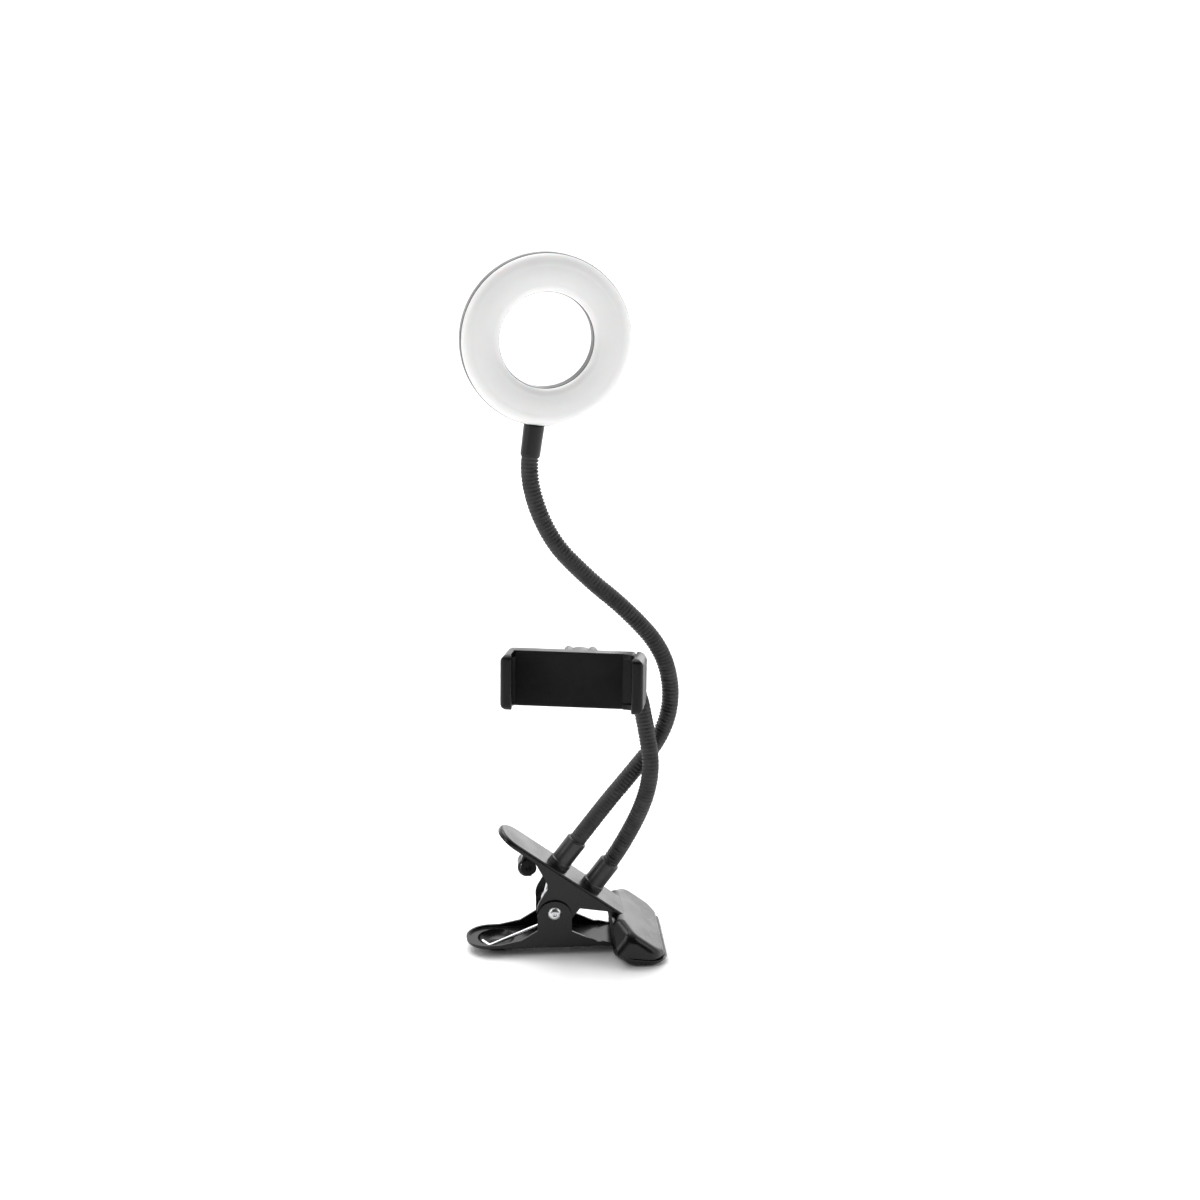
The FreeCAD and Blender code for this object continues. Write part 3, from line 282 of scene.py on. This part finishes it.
pin_at = hinge_at["clamp_open"]
low_turn = tangent_angle(TRAY_FOOT, 1)
high_turn = tangent_angle(LIFT_FOOT, -1)
spring_turns = 11 * math.pi + (high_turn - low_turn) % math.pi
coil_length = spring_turns / (2 * math.pi) * COIL_PITCH
coil_steps = int(math.degrees(spring_turns) / 8)
coil_dots = []
for n in range(coil_steps + 1):
    turned = n / coil_steps
    around = low_turn + spring_turns * turned
    coil_dots.append(np.array((
        pin_at.x + COIL_RADIUS * math.cos(around),
        pin_at.y + coil_length * (turned - 0.5),
        pin_at.z + COIL_RADIUS * math.sin(around),
    )))
tray_leg = bent_wire([TRAY_HOOK, TRAY_FOOT, tuple(coil_dots[0])], LEG_STEP, TRAY_CORNER)
lift_leg = bent_wire([tuple(coil_dots[-1]), LIFT_FOOT], LEG_STEP, LIFT_CORNER)
spring_line = np.array(tray_leg + coil_dots[1:-1] + lift_leg)
spring_wire = bright_zinc("spring wire", (0.66, 0.67, 0.69), 0.18)
clip_spring = tube_mesh(
    "clip_spring", spring_line, lambda i, turn, out: WIRE_RADIUS, 14, spring_wire
)
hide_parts("torsion_spring")
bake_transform(clip_spring)

# ---------------------------------------------------------------- upper clamp lever
# The upper half of the clip, in the same enamelled steel: thumb plate, side walls on the
# pin, and a drawn jaw. The lead's rubber gland sits in a hook bent down behind the pin.
wear(nodes["upper_lever"], enamel)
wear(nodes["lead_gland"], soft_rubber("gland rubber"))

# ---------------------------------------------------------------- neck mounts
# Each neck ends in a turned collar on a seat nut; a hollow stud goes through the plate
# to a washer and a lock nut below.


def satin_black_metal(name, colour=(0.012, 0.012, 0.013)):
    """Turned steel, chemically blacked: satin, with turning marks round it."""
    made, tree, shader, coords = finish_of(name, colour, 0.38, 0.0)
    marks = mottle(tree, coords, 500.0, 4.0)
    bumped(tree, shader, marks, 0.08, 0.0002)
    tree.links.new(
        ramp(tree, mottle(tree, coords, 90.0, 4.0), (0.30,), (0.46,)),
        shader.inputs["Roughness"],
    )
    return made


blacked = satin_black_metal("blacked steel")
for side in ("light", "phone"):
    wear(nodes[side + "_seat_nut"], blacked)
    wear(nodes[side + "_collar"], blacked)
    for part in ("_stud", "_washer", "_lock_nut"):
        wear(nodes[side + part], zinc)

# ---------------------------------------------------------------- gooseneck sleeves
# Two wires wound together into a bendable tube, under a shrunk charcoal sleeve. The
# sleeve lies smooth on the outside of a bend and wrinkles over the wires on the inside.
SLEEVE_RADIUS = 0.00480
WRINKLE_PITCH = 0.0021
STEPS_A_WRINKLE = 8
OUTSIDE_GROOVE = 0.00020
GROOVE_A_BEND = 0.000060
DEEPEST_EXTRA = 0.00080
BEND_WINDOW = 31
HINGE_SPREAD = 0.022
LEAST_SPREAD = 0.004
LIGHT_ROUTE = (
    (-0.01837, 0.0, 0.08555), (-0.0045, 0.0025, 0.1014), (0.0141, 0.0050, 0.1240),
    (0.0199, 0.0060, 0.1480), (0.0137, 0.0050, 0.1750), (-0.0066, 0.0030, 0.1985),
    (-0.0283, 0.0010, 0.2175), (-0.0489, -0.0005, 0.2400),
)
PHONE_ROUTE = (
    (-0.01072, 0.0, 0.05688), (0.0026, -0.0055, 0.0860), (0.0070, -0.0080, 0.1080),
    (0.0047, -0.0060, 0.1280),
)


def middle_of(node):
    """Centre of a rigid piece's box."""
    low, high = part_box(node)
    return (low + high) / 2


def smooth_line(corners, step=WRINKLE_PITCH / STEPS_A_WRINKLE):
    """Evenly spaced points on a curve that rounds every corner of a route."""
    curve = bpy.data.curves.new("route", "CURVE")
    curve.dimensions = "3D"
    spline = curve.splines.new("NURBS")
    spline.points.add(len(corners) - 1)
    for point, corner in zip(spline.points, corners):
        point.co = (*corner, 1.0)
    spline.order_u = 3
    spline.use_endpoint_u = True
    spline.resolution_u = 40
    holder = bpy.data.objects.new("route", curve)
    line = bpy.data.meshes.new_from_object(holder)
    dots = np.array([v.co for v in line.vertices])
    bpy.data.objects.remove(holder)
    bpy.data.curves.remove(curve)
    bpy.data.meshes.remove(line)
    along = np.concatenate([[0.0], np.cumsum(np.linalg.norm(np.diff(dots, axis=0), axis=1))])
    count = int(along[-1] / step) + 1
    at = np.linspace(0.0, along[-1], count)
    return np.stack([np.interp(at, along, dots[:, k]) for k in range(3)], axis=1), at


def inward_pull(points, step):
    """How sharply, and which way, the line bends at each point."""
    tangent = np.gradient(points, axis=0)
    tangent /= np.linalg.norm(tangent, axis=1)[:, None]
    bend = np.gradient(tangent, axis=0) / step
    window = np.ones(BEND_WINDOW) / BEND_WINDOW
    return np.stack([np.convolve(bend[:, k], window, mode="same") for k in range(3)], axis=1)


def sleeve_piece(name, points, bend, first_step, last_step, material):
    """One stretch of sleeve. Each wrinkle is a round ridge between two narrow grooves."""
    rng = np.random.default_rng(first_step + 11)
    uneven = rng.uniform(0.75, 1.20, (last_step - first_step) // STEPS_A_WRINKLE + 3)

    def radius_at(i, turn, out):
        step = first_step + i
        inside = max(0.0, float(np.dot(bend[step], out)))
        depth = OUTSIDE_GROOVE + min(DEEPEST_EXTRA, GROOVE_A_BEND * inside)
        phase = step / STEPS_A_WRINKLE
        groove = (0.5 - 0.5 * math.cos(2 * math.pi * phase)) ** 1.5
        ripple = 1.0 + 0.25 * math.sin(3 * turn + 2.1 * math.floor(phase))
        return SLEEVE_RADIUS - depth * groove * uneven[i // STEPS_A_WRINKLE] * ripple

    return tube_mesh(name, points[first_step:last_step + 1], radius_at, 30, material)


def charcoal_sleeve(name):
    """Shrunk polymer sleeve: satin charcoal, finely crazed, with a soft dusty sheen."""
    made, tree, shader, coords = finish_of(name, (0.020, 0.020, 0.0205), 0.55)
    shader.inputs["Specular IOR Level"].default_value = 0.35
    dust = mottle(tree, coords, 160.0, 6.0)
    tree.links.new(
        ramp(tree, dust, (0.013, 0.013, 0.0135), (0.032, 0.032, 0.033)),
        shader.inputs["Base Color"],
    )
    bumped(tree, shader, mottle(tree, coords, 900.0, 4.0), 0.30, 0.0004)
    tree.links.new(
        ramp(tree, mottle(tree, coords, 50.0, 4.0), (0.46,), (0.66,)),
        shader.inputs["Roughness"],
    )
    return made


def step_nearest(points, target):
    """Number of the step along a line that lies closest to a place."""
    return int(np.argmin(np.linalg.norm(points - np.array(target), axis=1)))


def sleeves(name, corners, hinges, material):
    """Cuts a neck's sleeve midway between its bends, at the bottom of a groove, so that
    the cut can't be seen; each stretch holds one hinge."""
    points, at = smooth_line(corners)
    bend = inward_pull(points, at[1])
    marks = [step_nearest(points, hinge_at[h]) for h in hinges]
    half = STEPS_A_WRINKLE // 2
    cuts = [0]
    for a, b in zip(marks, marks[1:]):
        cuts.append((a + b) // 2 // STEPS_A_WRINKLE * STEPS_A_WRINKLE + half)
    cuts.append(len(points) - 1)
    for number, hinge in enumerate(hinges):
        low, high = cuts[number], cuts[number + 1]
        piece = sleeve_piece(
            "%s_%d" % (name, number + 1), points, bend, low, high, material
        )
        mark = marks[number]
        spread = min(int(HINGE_SPREAD / at[1]), mark - low, high - mark)
        spread = max(spread, int(LEAST_SPREAD / at[1]))
        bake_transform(piece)
        yield piece


charcoal = charcoal_sleeve("charcoal sleeve")


def collar_mouth(node, towards):
    """The end of a base collar: its far face along the line to the hinge above it."""
    centre = middle_of(node)
    way = (Vector(towards) - centre).normalized()
    return Vector(towards) - way * 0.0030


head_way = (middle_of("ring_housing") - middle_of("ring_stem_collar")).normalized()
stem_mouth = middle_of("ring_stem_collar") - head_way * 0.0090
light_corners = [collar_mouth("light_collar", hinge_at["light_base_bend"])]
light_corners += [Vector(p) for p in LIGHT_ROUTE]
light_corners += [stem_mouth - head_way * 0.0135, stem_mouth]
light_pieces = list(sleeves(
    "light_sleeve", light_corners,
    ("light_base_bend", "light_middle_bend", "light_nod"),
    charcoal,
))
for piece, part in zip(light_pieces, ("lower", "middle", "upper")):
    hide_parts("light_neck_" + part)

ball_at = hinge_at["ball_swing"]
ball_way = (ball_at - middle_of("phone_end_collar")).normalized()
phone_corners = [collar_mouth("phone_collar", hinge_at["phone_base_bend"])]
phone_corners += [Vector(p) for p in PHONE_ROUTE]
phone_corners += [ball_at - ball_way * 0.0400, ball_at - ball_way * 0.0241]
phone_pieces = list(sleeves(
    "phone_sleeve", phone_corners,
    ("phone_base_bend", "phone_top_bend"),
    charcoal,
))
for piece, part in zip(phone_pieces, ("lower", "upper")):
    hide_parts("phone_neck_" + part)

# ---------------------------------------------------------------- ring light head
# A shallow moulded channel, ring-shaped, closed at the front by a milky diffuser that
# snaps in. Behind it lies a white circuit board with its light chips.


def moulded_plastic(name, colour, roughness, grain=0.12):
    """Injection-moulded plastic with a fine spark-eroded texture."""
    made, tree, shader, coords = finish_of(name, colour, roughness)
    shader.inputs["Specular IOR Level"].default_value = 0.30
    bumped(tree, shader, mottle(tree, coords, 1300.0, 2.0), grain, 0.0002)
    tree.links.new(
        ramp(tree, mottle(tree, coords, 80.0, 5.0), (roughness * 0.85,), (roughness * 1.2,)),
        shader.inputs["Roughness"],
    )
    return made


def milky_plastic(name):
    """Opal acrylic: white all through, softly lit from within by its own scatter."""
    made, tree, shader, coords = finish_of(name, (0.87, 0.87, 0.865), 0.34)
    cloud = mottle(tree, coords, 30.0, 3.0)
    tree.links.new(
        ramp(tree, cloud, (0.86, 0.86, 0.855), (0.88, 0.88, 0.875)), shader.inputs["Base Color"]
    )
    bumped(tree, shader, mottle(tree, coords, 1100.0, 2.0), 0.05, 0.0002)
    shader.inputs["Subsurface Weight"].default_value = 0.12
    shader.inputs["Subsurface Scale"].default_value = 0.002
    return made


ring_black = moulded_plastic("ring shell black", (0.005, 0.005, 0.0055), 0.30)
wear(nodes["ring_housing"], ring_black)
wear(nodes["ring_stem_collar"], ring_black)
wear(nodes["ring_diffuser"], milky_plastic("opal diffuser"))
wear(nodes["led_board"], moulded_plastic("white solder mask", (0.78, 0.78, 0.76), 0.35))
wear(nodes["led_chips"], moulded_plastic("phosphor gel", (0.80, 0.62, 0.16), 0.25))
wear(nodes["led_resistors"], moulded_plastic("resistor body", (0.03, 0.03, 0.03), 0.45))
wear(nodes["board_screws"], zinc)

# ---------------------------------------------------------------- ball joint
# A polished black ball on a short stud, held between a nylon liner in the holder's back
# and the lip of a fluted nut, which sets how hard it is to move.
wear(nodes["phone_end_collar"], blacked)
wear(nodes["ball_stud"], moulded_plastic("polished ball", (0.012, 0.012, 0.012), 0.12, 0.02), 50)
wear(nodes["ball_liner"], moulded_plastic("natural nylon", (0.70, 0.69, 0.65), 0.45))
nut_black = moulded_plastic("nut black", (0.010, 0.010, 0.0105), 0.36)
wear(nodes["locking_nut"], nut_black)

# ---------------------------------------------------------------- phone holder
# A hollow plate with one fixed jaw, and a second jaw that slides out on two rods against
# two wound springs. Semi-gloss black plastic, with soft ribbed strips at the phone.
holder_black = moulded_plastic("holder black", (0.004, 0.004, 0.0044), 0.30)
holder_shader = holder_black.node_tree.nodes["Principled BSDF"]
holder_shader.inputs["Specular IOR Level"].default_value = 0.22
wear(nodes["holder_back_cover"], holder_black)
JAW_OUTSIDES = (-0.0384, 0.0374)
JAW_HALF_HEIGHT = 0.0150
JAW_CORNER = 0.0048
SOFT_EDGE = 0.00035
slides = {j["name"]: Vector(j["axis"]) for j in frame["joints"]}
holder_frame = Matrix((slides["jaw_slide"], slides["ball_swing"], slides["holder_roll"]))
holder_frame = holder_frame.transposed().to_4x4()
holder_frame.translation = hinge_at["ball_swing"]


def corner_mould():
    """The outline that both jaws are moulded to: a bar with large round corners."""
    spare = 0.0001
    left, right = JAW_OUTSIDES[0] - spare, JAW_OUTSIDES[1] + spare
    half = JAW_HALF_HEIGHT + spare
    plan = []
    for cx, cy, first in (
        (right, half, 0), (left, half, 90), (left, -half, 180), (right, -half, 270)
    ):
        centre_x = cx - math.copysign(JAW_CORNER, cx)
        centre_y = cy - math.copysign(JAW_CORNER, cy)
        for n in range(9):
            turn = math.radians(first + 90.0 * n / 8)
            plan.append((
                centre_x + JAW_CORNER * math.cos(turn), centre_y + JAW_CORNER * math.sin(turn)
            ))
    mesh = bmesh.new()
    low = [mesh.verts.new((x, y, 0.006)) for x, y in plan]
    high = [mesh.verts.new((x, y, 0.038)) for x, y in plan]
    mesh.faces.new(tuple(reversed(low)))
    mesh.faces.new(tuple(high))
    for k in range(len(plan)):
        m = (k + 1) % len(plan)
        mesh.faces.new((low[k], low[m], high[m], high[k]))
    data = bpy.data.meshes.new("corner_mould")
    mesh.to_mesh(data)
    mesh.free()
    made = bpy.data.objects.new("corner_mould", data)
    bpy.context.scene.collection.objects.link(made)
    return made


def moulded_jaw(name, node, mould):
    """A jaw with the mould's round corners and a small radius on every edge."""
    mesh = bmesh.new()
    mesh.from_mesh(nodes[node].data)
    bmesh.ops.transform(mesh, matrix=holder_frame.inverted(), verts=mesh.verts)
    bmesh.ops.remove_doubles(mesh, verts=mesh.verts, dist=1e-6)
    bmesh.ops.dissolve_limit(
        mesh, angle_limit=math.radians(0.6), verts=mesh.verts, edges=mesh.edges
    )
    data = bpy.data.meshes.new(name)
    mesh.to_mesh(data)
    mesh.free()
    made = bpy.data.objects.new(name, data)
    bpy.context.scene.collection.objects.link(made)
    trim = made.modifiers.new("corners", "BOOLEAN")
    trim.operation = "INTERSECT"
    trim.solver = "EXACT"
    trim.object = mould
    edges = made.modifiers.new("edges", "BEVEL")
    edges.width = SOFT_EDGE
    edges.segments = 2
    edges.limit_method = "ANGLE"
    edges.angle_limit = math.radians(40)
    edges.use_clamp_overlap = False
    bpy.context.view_layer.update()
    shaped = made.evaluated_get(bpy.context.evaluated_depsgraph_get())
    final = bpy.data.meshes.new_from_object(shaped)
    made.modifiers.clear()
    made.data = final
    final.transform(holder_frame)
    wear(made, holder_black, 45)
    return made


mould = corner_mould()
fixed_jaw = moulded_jaw("fixed_jaw_frame", "holder_frame", mould)
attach(fixed_jaw, "holder")
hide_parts("holder_frame")
moving_jaw = moulded_jaw("moving_jaw", "sliding_jaw", mould)
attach(moving_jaw, "jaw")
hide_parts("sliding_jaw")
bpy.data.objects.remove(mould)
grip = soft_rubber("grip rubber", (0.007, 0.007, 0.007))
for part in ("fixed_jaw_pad", "sliding_jaw_pad", "plate_pad"):
    wear(nodes[part], grip)
for part in ("guide_rods", "holder_screws"):
    wear(nodes[part], zinc)
RETURN_WIRE = 0.000165
RETURN_TURNS = 26
STEPS_A_TURN = 18
sleeve_dots = [holder_frame.inverted() @ v.co for v in nodes["return_springs"].data.vertices]
coils = bmesh.new()
for side in (-1, 1):
    dots = [dot for dot in sleeve_dots if dot.y * side > 0]
    low = Vector([min(dot[k] for dot in dots) for k in range(3)])
    high = Vector([max(dot[k] for dot in dots) for k in range(3)])
    middle = (low + high) / 2
    wound = (high.y - low.y) / 2 - RETURN_WIRE
    ease = RETURN_WIRE * 1.5
    coil_line = []
    for n in range(RETURN_TURNS * STEPS_A_TURN + 1):
        part_way = n / (RETURN_TURNS * STEPS_A_TURN)
        turned = 2 * math.pi * RETURN_TURNS * part_way
        coil_line.append(tuple(holder_frame @ Vector((
            low.x + ease + (high.x - low.x - 2 * ease) * part_way,
            middle.y + wound * math.cos(turned),
            middle.z + wound * math.sin(turned),
        ))))
    one = tube_mesh(
        "one_coil", np.array(coil_line), lambda i, turn, out: RETURN_WIRE, 7, spring_wire
    )
    coils.from_mesh(one.data)
    bpy.data.objects.remove(one)
coil_data = bpy.data.meshes.new("return_coils")
coils.to_mesh(coil_data)
coils.free()
coil_data.materials.append(spring_wire)
return_coils = bpy.data.objects.new("return_coils", coil_data)
bpy.context.scene.collection.objects.link(return_coils)
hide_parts("return_springs")
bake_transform(return_coils)

# ---------------------------------------------------------------- table, light and camera
# A plain white table and surround. The light is broad and soft and comes from above and
# behind, and the side that the camera is on is dimmer, so that black faces stay black.
floor_data = bpy.data.meshes.new("floor")
span = 6.0
floor_data.from_pydata(
    [(-span, -span, 0), (span, -span, 0), (span, span, 0), (-span, span, 0)], [], [(0, 1, 2, 3)]
)
floor = bpy.data.objects.new("floor", floor_data)
bpy.context.scene.collection.objects.link(floor)
floor.location.z = cad_box[0][2] - 0.0002
floor_data.materials.append(finish_of("pale table", (0.92, 0.92, 0.92), 0.8)[0])


def soft_light(name, place, aim, width, height, power):
    """A soft box of light at a place, turned to face its aim."""
    data = bpy.data.lights.new(name, "AREA")
    data.shape = "RECTANGLE"
    data.size = width
    data.size_y = height
    data.energy = power
    lamp = bpy.data.objects.new(name, data)
    bpy.context.scene.collection.objects.link(lamp)
    lamp.location = place
    lamp.rotation_euler = (Vector(aim) - Vector(place)).to_track_quat("-Z", "Y").to_euler()
    return lamp


heart = (-0.02, 0.0, 0.18)
soft_light("left_box", (-1.2, -0.5, 0.8), heart, 0.5, 1.2, 5.0)
soft_light("right_box", (1.2, -0.4, 0.7), heart, 0.5, 1.2, 4.0)
soft_light("back_box", (0.65, 1.45, 0.45), heart, 1.2, 0.8, 4.5)
sky_data = bpy.data.lights.new("high_soft", "SUN")
sky_data.energy = 2.2
sky_data.angle = math.radians(50.0)
sky = bpy.data.objects.new("high_soft", sky_data)
bpy.context.scene.collection.objects.link(sky)
sky.rotation_euler = (math.radians(-22.0), math.radians(-12.0), 0.0)

world = bpy.data.worlds.new("surround")
world.use_nodes = True
world_tree = world.node_tree
view_way = world_tree.nodes.new("ShaderNodeTexCoord")
split = world_tree.nodes.new("ShaderNodeSeparateXYZ")
world_tree.links.new(view_way.outputs["Generated"], split.inputs["Vector"])
shade = world_tree.nodes.new("ShaderNodeMapRange")
shade.inputs["From Min"].default_value = -0.50
shade.inputs["From Max"].default_value = 0.60
shade.inputs["To Min"].default_value = 0.06
shade.inputs["To Max"].default_value = 1.60
world_tree.links.new(split.outputs["Y"], shade.inputs["Value"])
world_tree.links.new(shade.outputs["Result"], world_tree.nodes["Background"].inputs["Strength"])
world_tree.nodes["Background"].inputs["Color"].default_value = (1.0, 1.0, 1.0, 1.0)
bpy.context.scene.world = world
bpy.context.scene.view_settings.view_transform = "Standard"

camera_data = bpy.data.cameras.new("camera")
camera_data.lens = 57.4
camera_data.sensor_width = 36.0
camera = bpy.data.objects.new("camera", camera_data)
bpy.context.scene.collection.objects.link(camera)
camera.location = (-0.0915, -1.0027, 0.4933)
camera.rotation_euler = (math.radians(74.0), 0.0, math.radians(-4.0))
bpy.context.scene.camera = camera
